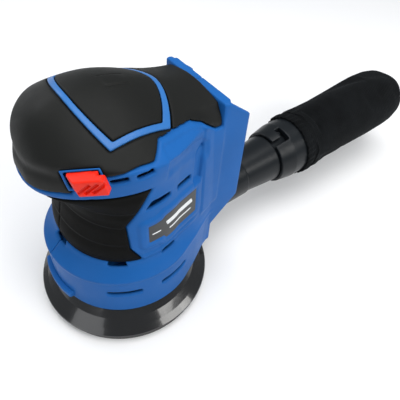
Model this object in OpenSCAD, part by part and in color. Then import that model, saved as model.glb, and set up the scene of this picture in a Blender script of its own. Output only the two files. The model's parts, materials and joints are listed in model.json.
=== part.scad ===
// Cordless dual-action palm machine: 125 mm orbiting pad, fan and eccentric drive,
// palm-grip body with an empty battery receptacle, and a dust tube with a bag.
// +Z is up along the motor axis, -Y is the nose, +X is the operator's left side.
// The origin is on the motor axis at the pad's bottom face.

/* [Pad] */
// Outer radius of the backing pad
pad_r = 62.5; // [60:0.5:64]
// Thickness of the hook disc
hook_t = 1.6; // [1.2:0.1:2]
// Height of the pad's widest rim
rim_z = 8; // [7:0.5:9]
// Height of the pad's upper lip
lip_z = 22.5; // [21:0.5:22.5]
// Radius of the pad's upper lip
lip_r = 47.5; // [45:0.5:48]
// Orbit radius of the pad (half the orbit diameter)
orbit = 1.25; // [0.8:0.05:1.25]
// Radius of the circle of dust holes
dust_pcd_r = 32.5; // [30:0.5:34]

/* [Body] */
// Wall thickness of the housing
wall = 2.8; // [2.4:0.1:3]
// Height of the skirt's bottom edge
skirt_z = 30; // [29:0.5:31]
// Radius of the skirt
skirt_r = 52; // [51:0.5:52]
// Half width of the column at the flanks
flank_w = 45.2; // [44:0.2:45.4]
// Height of the shoulder above the skirt
shoulder_z = 61.8; // [61:0.2:62]
// Height at which the grip sleeve starts
grip_z = 72.8; // [72:0.2:73]
// Height of the collar's lower edge at the sides
collar_z = 132.5; // [132:0.5:133]
// Highest point of the palm crown
crown_z = 169.5; // [168:0.5:170]

/* [Battery receptacle] */
// Half width over the receptacle's side walls
rec_w = 30; // [29:0.5:30]
// Thickness of the side walls
rec_t = 2.6; // [2.2:0.1:2.8]
// Rear face of the body, where the battery meets it
rec_y = 57.2; // [57:0.1:57.5]
// Top edge of the receptacle
rec_top = 151; // [149:0.5:152]
// Height of the receptacle's floor
rec_floor = 66; // [66:0.5:67]

/* [Switch] */
// Direction of the switch, degrees from the nose towards the operator's left
switch_az = 49; // [48:1:50]
// Height of the switch's centre
switch_z = 147; // [146.5:0.5:147.5]
// Slope of the switch along the flank, in degrees
switch_tilt = 13; // [11:1:14]

/* [Dust outlet] */
// Height of the outlet axis above the pad face, 100 mm behind the motor axis
duct_z100 = 46.3; // [45:0.1:47]
// Rise of the outlet axis per mm
duct_rise = 0.05; // [0.03:0.01:0.05]
// Outer radius of the dust tube at its rear end
tube_r = 20.5; // [20:0.5:21]
// Radius of the dust bag
bag_r = 25.6; // [24:0.2:26]
// Rear end of the dust bag
bag_end = 312; // [280:1:312]

/* [Hidden] */
$fn = 64;
eps = 0.01;
cover_y = rec_y - 0.6;
grip_t = 1.8;
trim_w = 3.4;
floor_t = 2.2;
play = 0.05;
duct_tilt = atan(duct_rise);
blue = [0.13, 0.36, 0.70];
black = [0.13, 0.14, 0.13];

// ---- Curves of the body ---------------------------------------------------------------

function mix(a, b, t) = a + (b - a) * t;
function soft(t) = let (c = max(0, min(1, t))) c * c * (3 - 2 * c);
function look(z, rows, k, i = 0) =
    i >= len(rows) - 1 || z <= rows[0][0] ? rows[z <= rows[0][0] ? 0 : len(rows) - 1][k]
    : z < rows[i + 1][0] ? mix(rows[i][k], rows[i + 1][k],
                               (z - rows[i][0]) / (rows[i + 1][0] - rows[i][0]))
    : look(z, rows, k, i + 1);

// One row a level: height, half width, nose reach, roundness of the nose,
// half width at the rear corner, distance to the rear corner.
LEVELS = [
    [skirt_z, skirt_r, skirt_r, 2, 32, 54],
    [shoulder_z, skirt_r - 0.8, skirt_r - 0.8, 2, 32.6, 54.4],
    [66, 47.8, 46.5, 2, 32.8, 54.2],
    [70.5, flank_w + 0.4, 42.6, 2, 32.8, 54],
    [73.5, flank_w, 41.3, 2, 32.8, 54],
    [80, flank_w, 41, 2, 32.8, 53.6],
    [90, flank_w, 38.7, 2, 32.8, 53],
    [100, flank_w, 36.2, 2, 32.8, 52],
    [108, flank_w, 34.9, 2, 32.8, 51.4],
    [114, flank_w, 35.9, 2, 32.8, 51],
    [120, flank_w, 39.5, 2, 32.8, 50.4],
    [126, flank_w, 46.6, 1.95, 32.8, 50],
    [129, 45.4, 51.4, 1.9, 32.6, 49.8],
    [collar_z, 45.9, 52.3, 1.85, 32.4, 49.6],
    [138, 47.2, 51.5, 1.85, 32, 49.4],
    [145, 48.2, 50.4, 1.85, 31, 51],
    [151, 48.3, 49.2, 1.85, 29.4, 55],
    [158, 45.4, 45.4, 1.8, 28, 57.2],
    [166, 41, 40.8, 1.75, 26, 57.2],
    [178, 36, 35, 1.7, 24, 57.2]
];
FRONT_STEPS = 11;

// Half of the plan outline at a height, from the nose to the middle of the back.
// inset moves it inwards by a wall thickness.
function outline(row, inset) =
    let (w = row[1] - inset, f = row[2] - inset, n = row[3],
         xc = row[4] - inset, yc = row[5] - inset * 0.4, yb = rec_y - inset)
    concat(
        [for (i = [0:FRONT_STEPS]) let (a = 90 * i / FRONT_STEPS)
            [i == 0 ? 0 : w * pow(sin(a), 2 / n), i == FRONT_STEPS ? 0 : -f * pow(cos(a), 2 / n), row[0]]],
        [for (a = [9, 18, 26]) [w * cos(a), w * sin(a) * 0.98, row[0]]],
        [[mix(w * cos(26), xc, 0.5) + 0.5, mix(w * sin(26), yc - 6, 0.5), row[0]]],
        [[xc, yc - 6, row[0]], [xc - 2.4, yc - 0.6, row[0]], [xc - 3, yb, row[0]], [0, yb, row[0]]]
    );

// Solid between stacked outlines with the same number of points.
module stacked(rings) {
    n = len(rings[0]);
    polyhedron(
        points = [for (r = rings) each r],
        faces = concat(
            [[for (i = [0:n - 1]) i]],
            [for (k = [0:len(rings) - 2]) for (i = [0:n - 1]) for (h = [0, 1])
                let (a = k * n + i, b = k * n + (i + 1) % n)
                h == 0 ? [a, a + n, b] : [b, a + n, b + n]],
            [[for (i = [n - 1:-1:0]) (len(rings) - 1) * n + i]]
        )
    );
}

// Left half of the body's side surface.
module half_column(inset, low = 0, high = 0) {
    stacked([for (i = [0:len(LEVELS) - 1]) let (r = LEVELS[i])
        outline(i == 0 ? [r[0] - low, each [for (k = [1:5]) r[k]]]
              : i == len(LEVELS) - 1 ? [r[0] + high, each [for (k = [1:5]) r[k]]] : r, inset)]);
}

// Height of the palm crown over a point of the plan.
function crown(x, y) =
    let (c = min(max(0, -4 - y) / 48, 0.998),
         nose = 50 * (1 - pow(1 - pow(c, 2.8), 1 / 2.8)),
         rear = 16 * soft((y + 6) / 66),
         side = 20 * pow(x / 47, 1.7) * (1 - 0.35 * soft((y - 20) / 36)),
         shoulder = 1.3 * max(0, x - 23.5) * soft((y - 30) / 24))
    crown_z - nose - rear - side - shoulder;

CROWN_X = [0, 8, 16, 23.5, 30, 36, 42, 52];
CROWN_Y = [-60, -51, -49, -46, -42, -37, -31, -24, -16, -8, 0, 8, 16, 23, 29, 35, 41, 47, 53, 60];
// Half of the solid under the palm crown.
module half_crown(inset, base) {
    nx = len(CROWN_X);
    ny = len(CROWN_Y);
    top = [for (y = CROWN_Y) for (x = CROWN_X) [x, y, crown(x, y) - inset]];
    bottom = [for (y = CROWN_Y) for (x = CROWN_X) [x, y, base]];
    m = nx * ny;
    polyhedron(
        points = concat(top, bottom),
        faces = concat(
            [for (j = [0:ny - 2]) for (i = [0:nx - 2]) for (h = [0, 1])
                let (a = j * nx + i)
                h == 0 ? [a, a + nx, a + 1] : [a + 1, a + nx, a + nx + 1]],
            [for (j = [0:ny - 2]) for (i = [0:nx - 2]) for (h = [0, 1])
                let (a = m + j * nx + i)
                h == 0 ? [a, a + 1, a + nx] : [a + 1, a + nx + 1, a + nx]],
            [for (i = [0:nx - 2]) for (h = [0, 1])
                h == 0 ? [i, i + 1, m + i] : [i + 1, m + i + 1, m + i]],
            [for (i = [0:nx - 2]) for (h = [0, 1]) let (a = (ny - 1) * nx + i)
                h == 0 ? [a + 1, a, m + a + 1] : [a, m + a, m + a + 1]],
            [for (j = [0:ny - 2]) for (h = [0, 1]) let (a = j * nx)
                h == 0 ? [a + nx, a, m + a + nx] : [a, m + a, m + a + nx]],
            [for (j = [0:ny - 2]) for (h = [0, 1]) let (a = j * nx + nx - 1)
                h == 0 ? [a, a + nx, m + a] : [a + nx, m + a + nx, m + a]]
        )
    );
}

// Left half of the closed outer form, moved inwards by inset.
module half_form(inset, low = 0, high = 0) {
    intersection() {
        half_column(inset, low, high);
        half_crown(inset, skirt_z - 5);
    }
}

// Left half of the body's wall.
module half_wall(t = wall) {
    difference() {
        half_form(0);
        translate([-eps, 0, 0]) half_form(t, 1, 1);
    }
}

// A curved shell is kept as one mesh, because its surfaces are free-form.
module one_mesh() {
    resize([0, 0, 0]) children();
}

// ---- Zones of the body, seen from the side ---------------------------------------------

// Prism across the body with an outline in Y and Z.
module side_zone(points, x0 = -60, x1 = 60) {
    translate([x0, 0, 0]) rotate([90, 0, 90]) linear_extrude(x1 - x0) polygon(points);
}

// The black top cover: low at the nose, stepped up over the switch and the flanks.
module cover_zone(rear = cover_y) {
    side_zone([
        [-60, 131], [-48, 132.5], [-40, 135.5], [-36.5, 136], [-35, 149.3], [-21, 149.5],
        [-8, 151.4], [0.6, 150], [8.3, 153.5], [16, 152.5], [32.4, 150.2], [41, 145.4],
        [51, 137], [cover_y - 0.03, 136.2], [rear, 136.2], [rear, 190], [-60, 190]
    ]);
}

// The soft grip round the waist, up to the collar, grown by g.
module grip_zone(g = 0) {
    translate([-60, 0, 0]) rotate([90, 0, 90]) linear_extrude(120) offset(delta = g) polygon([
        [-60, grip_z], [-9, grip_z], [-15, 85], [-15.5, 105], [-1, collar_z],
        [-30, collar_z], [-44, 130], [-50, 127.5], [-60, 126.5]
    ]);
}

// Plan of the palm panel, grown by g.
module palm_plan(g) {
    front = 21.3 + g;
    side = 33.4 + g;
    polygon(concat(
        [for (x = [-1, -0.5, 0, 0.5, 1]) [x * side, -front + 6.3 * x * x]],
        [for (x = [1, 0.62, 0.3, 0, -0.3, -0.62, -1])
            [x * (side - 2.4), 29.3 + g - 12.6 * pow(abs(x), 1.7)]]
    ));
}

module palm_prism(g) {
    translate([0, 0, 140]) linear_extrude(50) palm_plan(g);
}

// Slot through the wall, aimed at the motor axis.
module wall_slot(az, z, w, h, r, tilt = 0) {
    rotate([0, 0, az]) translate([0, -r, z]) rotate([0, tilt, 0]) cube([w, 24, h], center = true);
}

// ---- Housing ----------------------------------------------------------------------------

// One rail that the battery slides down on, behind the front wall.
module battery_rail() {
    translate([rec_w - rec_t - 4, rec_y + 7, rec_floor - 1])
        cube([5, 3, rec_top - rec_floor - 13]);
}

// Front wall, side wall and floor of the receptacle, left half.
module half_receptacle() {
    translate([0, cover_y, rec_floor - floor_t]) cube([rec_w - 0.4, 3.2, rec_top - rec_floor + floor_t]);
    side_zone([
        [51.3, 135.6], [cover_y + 0.15, 135.9], [cover_y + 0.15, 141], [rec_y + 1.6, rec_top - 0.5],
        [61, rec_top - 0.5], [77.5, 137.5], [78.4, 66.3], [rec_y + 0.7, 47.2], [55.1, 44.8]
    ], rec_w - rec_t, rec_w);
    translate([0, rec_y, rec_floor - floor_t]) cube([rec_w - 1, 19, floor_t]);
    // Thick top edge of the front wall
    translate([0, rec_y + 1, rec_top - 4]) cube([rec_w - 3.1, 5, 3.98]);
    battery_rail();
}

// Places of the housing screws, in Y and Z.
SCREWS = [[-31, 58], [38, 72], [38, 128], [-14, 134.2]];
seat_x = 22;

// Round shape along X at each housing screw, from x0 to x1.
module at_screws(r, x0, x1) {
    for (p = SCREWS) translate([x0, p[0], p[1]]) rotate([0, 90, 0]) cylinder(r = r, h = x1 - x0, $fn = 24);
}

// Bosses inside the left half of the form.
module half_bosses() {
    intersection() {
        at_screws(3.6, 0, 60);
        half_form(wall - 0.5, 1, 1);
    }
}

// One half of the clamshell housing.
module housing_half() {
    difference() {
        union() {
            difference() {
                half_wall();
                cover_zone(rec_y + 3);
                grip_zone();
            }
            // Backing of the grip sleeve
            intersection() {
                difference() {
                    half_form(grip_t + play);
                    translate([-eps, 0, 0]) half_form(wall + 1, 1, 1);
                }
                grip_zone(1.2);
            }
            half_receptacle();
            half_bosses();
            // Ribs that hold the motor mount and the motor damper
            for (z = [60, 110]) translate([0, 0, z]) difference() {
                intersection() {
                    translate([0, -60, 0]) cube([60, rec_y + 60, 3]);
                    translate([0, 0, -z]) half_form(wall - 0.4, 1, 1);
                }
                translate([0, 0, -1]) cylinder(r = 26.2, h = 5, $fn = 32);
            }
        }
        // Vents in the skirt, on the shoulder, in the flank and under the cover
        for (az = [61.5, 102]) wall_slot(az, 47.8, 21, 3.2, 52);
        for (az = [0, 58, 103]) wall_slot(az, 70.9, 11, 3.4, 42);
        side_zone([[-4.6, 117.6], [-1.3, 122], [10.4, 121], [10.4, 118.3]], 36, 60);
        side_zone([[17.2, 117.4], [17.5, 120.1], [27.6, 120.2], [28, 117]], 30, 60);
        for (az = [68, 83.5]) wall_slot(az, 146.4 + (az - 68) * 0.12, 8.4, 2.2, 48, -10);
        // Window for the battery contacts
        translate([-1, rec_y - 8, 96]) cube([17, 14, 36]);
        // Opening for the outlet spigot
        duct_place(rec_y - 20) cylinder(r = 16.2, h = 45, $fn = 48);
    }
}

// Frame of the outlet: +Z points backwards along its axis, starting at y.
module duct_place(y) {
    translate([0, y, duct_z100 + duct_rise * (y - 100)]) rotate([-90 + duct_tilt, 0, 0]) children();
}

// Frame of the switch: +X points outwards, +Y along the slide, away from the nose.
module switch_place() {
    rotate([0, 0, switch_az - 90]) translate([0, 0, switch_z]) rotate([switch_tilt, 0, 0]) children();
}

module switch_cut(g) {
    switch_place() translate([40, -10.3 - g, -6 - g]) cube([16, 20 + 2 * g, 12.4 + 2 * g]);
}

module housing_left() {
    color(blue) one_mesh() difference() {
        housing_half();
        switch_cut(play);
        at_screws(1.9 + play, -1, 12);
    }
}

module housing_right() {
    color(blue) one_mesh() mirror([1, 0, 0]) difference() {
        housing_half();
        at_screws(1.9 + play, -1, 60);
        at_screws(3.5, seat_x, 60);
    }
}

// Bar moulded on the skirt's front edge, which meets a workpiece first.
module front_bumper() {
    color(blue) difference() {
        translate([0, 0, skirt_z + 0.6]) intersection() {
            difference() {
                cylinder(r = skirt_r + 3.4, h = 5.4);
                translate([0, 0, -1]) cylinder(r = skirt_r + 0.05, h = 8);
            }
            translate([-18.5, -60, -1]) cube([37, 30, 8]);
        }
    }
}

// ---- Top ----------------------------------------------------------------------------------

module top_cover() {
    color(black) one_mesh() difference() {
        intersection() {
            union() {
                half_wall();
                mirror([1, 0, 0]) half_wall();
            }
            cover_zone();
        }
        palm_prism(trim_w / 2 + play);
        switch_cut(play);
    }
}

module trim_frame() {
    color([0.22, 0.50, 0.85]) one_mesh() difference() {
        intersection() {
            union() {
                half_wall(2.2);
                mirror([1, 0, 0]) half_wall(2.2);
            }
            palm_prism(trim_w / 2);
        }
        palm_prism(-trim_w / 2);
    }
}

module palm_panel() {
    color(black) one_mesh() difference() {
        intersection() {
            union() {
                half_wall(2.2);
                mirror([1, 0, 0]) half_wall(2.2);
            }
            palm_prism(-trim_w / 2 - play);
        }
        for (x = [-5, 5]) translate([x - 0.4, -1.5, 166]) cube([0.8, 13, 5]);
    }
}

// ---- Grips, plates and screws -----------------------------------------------------------

module grip_half() {
    intersection() {
        difference() {
            half_form(0);
            translate([-eps, 0, 0]) half_form(grip_t, 1, 1);
        }
        grip_zone();
    }
}

module grip_left() {
    color(black) one_mesh() difference() {
        grip_half();
        switch_cut(play);
    }
}

module grip_right() {
    color(black) one_mesh() mirror([1, 0, 0]) grip_half();
}

// Thin plate that follows the flank, with a stepped outline.
module nameplate() {
    intersection() {
        difference() {
            half_form(-0.7, 1, 1);
            half_form(-play, 2, 2);
        }
        side_zone([
            [-5.7, 87.6], [4.6, 87.4], [6.4, 84], [34.4, 84.4],
            [34.2, 106], [6.2, 106.4], [3.9, 104.4], [-5.7, 103.4]
        ], 20, 60);
    }
}

module nameplate_left() {
    color(black) one_mesh() nameplate();
}

module nameplate_right() {
    color(black) one_mesh() mirror([1, 0, 0]) nameplate();
}

// Screws that close the clamshell from the right side.
module housing_screws() {
    color("silver") {
        at_screws(1.9, -seat_x, 10);
        at_screws(3.4, -seat_x - 2.4, -seat_x);
    }
}

// ---- Switch and electrics ----------------------------------------------------------------

module switch_bezel() {
    color(blue) switch_place() difference() {
        translate([42.6, -10.3, -6]) cube([5.6, 20, 12.4]);
        translate([42, -8.7, -4.6]) cube([8, 17, 9.7]);
    }
}

// Cap that leans away from the nose, with diagonal grooves, on a stem through the bezel.
module switch_button() {
    color([0.9, 0.16, 0.07]) switch_place() {
        difference() {
            translate([0, 0, -4.4]) linear_extrude(9.5)
                polygon([[48.5, -7], [54.2, -2.1], [54.2, 12.1], [49.8, 12.3], [49.8, 8.6], [48.5, 8.2]]);
            translate([49, 12.6, -6.4]) rotate([-38, 0, 0]) cube([8, 7, 7]);
            for (i = [0:2]) translate([54.2, 0.4 + i * 3.4, 0.2]) rotate([-42, 0, 0])
                cube([1.4, 1.1, 7.4], center = true);
        }
        translate([38.4, -6.6, -3.2]) cube([10.2, 10.6, 6.6]);
    }
}

module microswitch() {
    color([0.2, 0.2, 0.22]) switch_place() translate([24.4, -9, -7]) cube([13.4, 20, 10.5]);
}

module control_board() {
    color([0.1, 0.35, 0.2]) translate([-16, -10, board_z]) cube([30, 30, 1.6]);
}

module terminal_block() {
    color(black) {
        translate([-14.6, rec_y - 7, 98]) cube([29.2, 6, 32]);
        translate([-14.6, rec_y - 3.9, 97]) cube([29.2, 9, 33.5]);
    }
}

module terminal_blades() {
    color([0.85, 0.65, 0.3]) for (x = [-9, -3, 3, 9])
        translate([x - 0.4, rec_y + 5.1, 101]) cube([0.8, 7, 22]);
}

lead_r = 1.1;
board_z = 138;

// Lead from the terminal block, forwards, up and along the board's underside.
module supply_leads() {
    rise = board_z - lead_r - 118.02;
    for (s = [-1, 1]) color(s < 0 ? "firebrick" : "black") translate([s * 6, 44, 118]) {
        sphere(r = lead_r);
        cylinder(r = lead_r, h = rise);
        rotate([-90, 0, 0]) cylinder(r = lead_r, h = rec_y - 51.05);
        translate([0, 0, rise]) {
            sphere(r = lead_r);
            rotate([90, 0, 0]) cylinder(r = lead_r, h = 32);
        }
    }
}

module motor_leads() {
    for (s = [-1, 1]) color(s < 0 ? "firebrick" : "black")
        translate([s * 12, 8, 122.15]) cylinder(r = lead_r, h = board_z - 122.2);
}

// ---- Motor ---------------------------------------------------------------------------------

motor_screw_r = 16;
module ring(r1, r2, h) {
    difference() {
        cylinder(r = r2, h = h);
        translate([0, 0, -1]) cylinder(r = r1, h = h + 2);
    }
}

module motor_can() {
    color("silver") translate([0, 0, 64]) difference() {
        cylinder(r = 22, h = 54);
        translate([0, 0, 2]) cylinder(r = 20.4, h = 60);
        translate([0, 0, -1]) cylinder(r = 7.5, h = 5);
        for (a = [45:90:315]) rotate([0, 0, a]) translate([13, -3, -1]) cube([4, 6, 5]);
        for (a = [0, 180]) rotate([0, 0, a]) translate([motor_screw_r, 0, -1]) cylinder(r = 2.1, h = 5);
    }
}

module motor_magnets() {
    color([0.25, 0.25, 0.27]) translate([0, 0, 72]) for (a = [0, 180]) rotate([0, 0, a - 60])
        rotate_extrude(angle = 120) translate([15.8, 0]) square([4.5, 38]);
}

module armature() {
    color([0.45, 0.42, 0.38]) translate([0, 0, 75]) difference() {
        union() {
            cylinder(r = 15.2, h = 30);
            translate([0, 0, -5]) cylinder(r = 12.5, h = 40);
        }
        for (a = [0:36:324]) rotate([0, 0, a]) translate([14, -0.8, -1]) cube([4, 1.6, 32]);
        translate([0, 0, -6]) cylinder(r = 4, h = 42);
    }
}

module commutator() {
    color([0.75, 0.45, 0.25]) translate([0, 0, 112]) difference() {
        cylinder(r = 6.5, h = 8);
        for (a = [0:36:324]) rotate([0, 0, a]) translate([5.9, -0.3, -1]) cube([2, 0.6, 10]);
        translate([0, 0, -1]) cylinder(r = 4, h = 12);
    }
}

module motor_shaft() {
    color("gainsboro") translate([0, 0, 37]) cylinder(r = 4, h = 91);
}

module brush_plate() {
    color(black) difference() {
        union() {
            translate([0, 0, 118.1]) cylinder(r = 22, h = 4);
            translate([0, 0, 122]) cylinder(r = 10.5, h = 8);
        }
        translate([0, 0, 110]) cylinder(r = 9.5, h = 11.9);
        translate([0, 0, 122]) cylinder(r = 8.02, h = 7);
        translate([0, 0, 117]) cylinder(r = 5, h = 8);
        for (a = [0, 180]) rotate([0, 0, a]) translate([5, -2.6, 117]) cube([12, 5.2, 3.2]);
    }
}

module carbon_brushes() {
    color([0.18, 0.18, 0.2]) for (a = [0, 180]) rotate([0, 0, a])
        translate([6.55, -2.5, 114.2]) cube([9, 5, 5.4]);
}

module upper_bearing() {
    color("gainsboro") translate([0, 0, 122.1]) ring(4.03, 8, 5);
}

module lower_bearing() {
    color("gainsboro") translate([0, 0, 57]) ring(4.03, 8, 6);
}

module motor_damper() {
    color([0.15, 0.15, 0.15]) translate([0, 0, 109]) ring(22.05, 26.1, 5);
}

// Plate between the fan chamber and the motor, with the lower bearing's seat.
module motor_mount() {
    color("silver") difference() {
        union() {
            translate([0, 0, 60]) cylinder(r = 26, h = 3.9);
            translate([0, 0, 55]) cylinder(r = 11, h = 6);
        }
        translate([0, 0, 57]) cylinder(r = 8.02, h = 8);
        translate([0, 0, 54]) cylinder(r = 5, h = 6);
        for (a = [0, 180]) rotate([0, 0, a]) translate([motor_screw_r, 0, 50]) cylinder(r = 2.1, h = 20);
    }
}

module motor_screws() {
    color("gray") for (a = [0, 180]) rotate([0, 0, a]) translate([motor_screw_r, 0, 57.4]) {
        cylinder(r = 3.6, h = 2.5);
        cylinder(r = 2, h = 9);
    }
}

// ---- Fan, eccentric and pad drive -------------------------------------------------------

FAN_BLADES = 9;
module fan() {
    color([0.2, 0.2, 0.22]) difference() {
        union() {
            translate([0, 0, 41]) cylinder(r = 43, h = 2);
            translate([0, 0, 36]) cylinder(r = 11, h = 14);
            for (i = [0:FAN_BLADES - 1]) rotate([0, 0, i * 360 / FAN_BLADES]) {
                translate([14, -0.8, 42]) cube([28, 1.6, 8]);
                translate([33, -0.8, 30]) cube([9.5, 1.6, 12]);
            }
        }
        translate([0, 0, 30]) cylinder(r = 4, h = 30);
    }
}

// Hub below the fan: the pad bearing sits in it off centre, balanced by a weight behind.
module counterweight_hub() {
    color([0.55, 0.55, 0.57]) difference() {
        union() {
            translate([0, 0, 23.5]) cylinder(r = 19, h = 17.4);
            intersection() {
                translate([0, 0, 30]) cylinder(r = 31, h = 10.9);
                translate([-32, 4, 20]) cube([64, 40, 40]);
            }
        }
        translate([0, -orbit, 22]) cylinder(r = 14, h = 14.5);
        translate([0, 0, 30]) cylinder(r = 4, h = 20);
        translate([0, 0, 35.9]) cylinder(r = 11.02, h = 10);
    }
}

module bearing_outer() {
    color("gainsboro") translate([0, -orbit, 24.2]) difference() {
        ring(11.4, 14, 11);
        translate([0, 0, 5.5]) rotate_extrude() translate([10, 0]) circle(r = 2.4);
    }
}

BALLS = 8;
module bearing_balls() {
    color("white") translate([0, -orbit, 29.7]) for (i = [0:BALLS - 1])
        rotate([0, 0, i * 360 / BALLS]) translate([10, 0, 0]) sphere(r = 2.35);
}

module bearing_inner() {
    color("gainsboro") translate([0, -orbit, 24.2]) difference() {
        ring(6, 8.6, 11);
        translate([0, 0, 5.5]) rotate_extrude() translate([10, 0]) circle(r = 2.4);
    }
}

module pad_spindle() {
    color("silver") translate([0, -orbit, 0]) {
        translate([0, 0, 19.1]) cylinder(r = 6, h = 15.9);
        translate([0, 0, 19.1]) cylinder(r = 8.4, h = 4.9);
    }
}

module pad_carrier() {
    color([0.3, 0.3, 0.32]) translate([0, -orbit, 14.1]) difference() {
        union() {
            cylinder(r = 21, h = 3);
            cylinder(r = 12, h = 4.9);
        }
        for (a = SCREW_AZ) rotate([0, 0, a]) translate([16, 0, -1]) cylinder(r = 1.9, h = 6);
    }
}

SCREW_AZ = [90, 210, 330];
module pad_screws() {
    color("gray") translate([0, -orbit, 0]) for (a = SCREW_AZ) rotate([0, 0, a]) translate([16, 0, 0]) {
        translate([0, 0, 9.1]) cylinder(r = 3.8, h = 1.8);
        translate([0, 0, 9.1]) cylinder(r = 1.9, h = 8.4);
    }
}

// Holes through the pad: dust holes and the recesses for its screws.
module pad_holes(screw_r) {
    for (a = [22.5:45:337.5]) rotate([0, 0, a]) translate([dust_pcd_r, 0, -1]) cylinder(r = 4.2, h = 30);
    for (a = SCREW_AZ) rotate([0, 0, a]) translate([16, 0, -1]) cylinder(r = screw_r, h = 30);
}

module backing_pad() {
    color([0.05, 0.05, 0.05]) translate([0, -orbit, 0]) difference() {
        rotate_extrude() polygon([
            [0, rim_z + 0.02], [pad_r - 1.2, rim_z + 0.02], [pad_r, rim_z + 0.5], [pad_r - 0.3, rim_z + 1.4],
            [58, rim_z + 4.6], [53, rim_z + 8.9], [lip_r + 1.4, lip_z - 0.6], [lip_r, lip_z],
            [lip_r - 1.8, lip_z], [43, 17], [38, 14], [0, 14]
        ]);
        pad_holes(2);
        for (a = SCREW_AZ) rotate([0, 0, a]) translate([16, 0, 0]) cylinder(r = 4, h = 11);
    }
}

module foam_layer() {
    color([0.12, 0.12, 0.12]) translate([0, -orbit, 0]) difference() {
        translate([0, 0, hook_t + 0.02]) cylinder(r1 = pad_r - 2.4, r2 = pad_r - 1.2, h = rim_z - hook_t - 0.02);
        pad_holes(5);
    }
}

module hook_disc() {
    color([0.08, 0.08, 0.08]) translate([0, -orbit, 0]) difference() {
        cylinder(r = pad_r - 2.5, h = hook_t);
        pad_holes(5);
    }
}

module brake_ring() {
    color([0.06, 0.06, 0.06]) translate([0, 0, 25.2]) difference() {
        cylinder(r = 49, h = 6);
        translate([0, 0, -1]) cylinder(r = 46.6, h = 9);
    }
}

// Chamber round the fan: wall, top plate and the exit to the spigot.
module fan_shroud() {
    color([0.25, 0.26, 0.27]) difference() {
        union() {
            translate([0, 0, 31.3]) ring(45.7, 48.1, 20);
            translate([0, 0, 51.3]) ring(27, 48.1, 2);
        }
        duct_place(38) cylinder(r = 13.8, h = 20);
    }
}

// ---- Dust outlet and bag ------------------------------------------------------------------

module outlet_spigot() {
    color(black) difference() {
        duct_place(49.5) cylinder(r = 16, h = 26);
        duct_place(40) cylinder(r = 13.6, h = 60);
    }
}

// Adaptor tube that plugs over the spigot and flares towards the bag.
module dust_tube() {
    color([0.12, 0.13, 0.13]) duct_place(62) {
        rotate_extrude() polygon([
            [16.05, 0], [18.2, 0], [18.2, 43], [17.2, 43.6], [tube_r, 75.6], [tube_r - 1.1, 76],
            [19.4, 96], [17.2, 96], [17.2, 76], [14.6, 44], [14.6, 13.6], [16.05, 13.6]
        ]);
        translate([0, -18.4, 88]) rotate([90, 0, 0]) cylinder(r = 2, h = 3.2);
    }
}

// Collar with the bayonet track that locks on the tube's pin.
unlock_turn = 20;
module bag_collar() {
    color([0.12, 0.13, 0.13]) duct_place(62) difference() {
        rotate_extrude() polygon([[19.5, 76.4], [22.6, 76.4], [25, 90.3], [25, 112.2], [19.5, 112.2]]);
        translate([0, 0, 85.6]) rotate([0, 0, -97]) rotate_extrude(angle = 33)
            translate([19, 0]) square([7, 4.8]);
        rotate([0, 0, unlock_turn]) translate([-2.4, -27, 75]) cube([4.8, 9, 15.4]);
    }
}

module bag_ring() {
    color("silver") duct_place(62) translate([0, 0, 114]) ring(22.5, 24.4, 6);
}

module bag_cuff() {
    color([0.05, 0.05, 0.05]) duct_place(62) translate([0, 0, 103]) ring(25.1, 27.3, 7);
}

module dust_bag() {
    color([0.05, 0.05, 0.05]) duct_place(62) difference() {
        union() {
            translate([0, 0, 110.3]) cylinder(r1 = 26.6, r2 = bag_r, h = 20);
            translate([0, 0, 130.2]) cylinder(r = bag_r, h = bag_end - 62 - 130.2 - bag_r);
            translate([0, 0, bag_end - 62 - bag_r]) sphere(r = bag_r);
        }
        translate([0, 0, 100]) cylinder(r = 25.1, h = 13);
        translate([0, 0, 112.9]) cylinder(r = 24.6, h = 8);
        translate([0, 0, 120.8]) cylinder(r = 22, h = 80);
    }
}

housing_left();
housing_right();
front_bumper();
top_cover();
palm_panel();
trim_frame();
grip_left();
grip_right();
switch_bezel();
switch_button();
microswitch();
control_board();
terminal_block();
terminal_blades();
supply_leads();
motor_leads();
nameplate_left();
nameplate_right();
housing_screws();
motor_can();
motor_magnets();
armature();
commutator();
motor_shaft();
brush_plate();
carbon_brushes();
upper_bearing();
lower_bearing();
motor_damper();
motor_mount();
motor_screws();
fan();
counterweight_hub();
bearing_outer();
bearing_balls();
bearing_inner();
pad_spindle();
pad_carrier();
pad_screws();
backing_pad();
foam_layer();
hook_disc();
brake_ring();
fan_shroud();
outlet_spigot();
dust_tube();
bag_collar();
bag_ring();
bag_cuff();
dust_bag();
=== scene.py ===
import json
import math

import bpy
import numpy as np
from mathutils import Matrix, Vector


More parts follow.
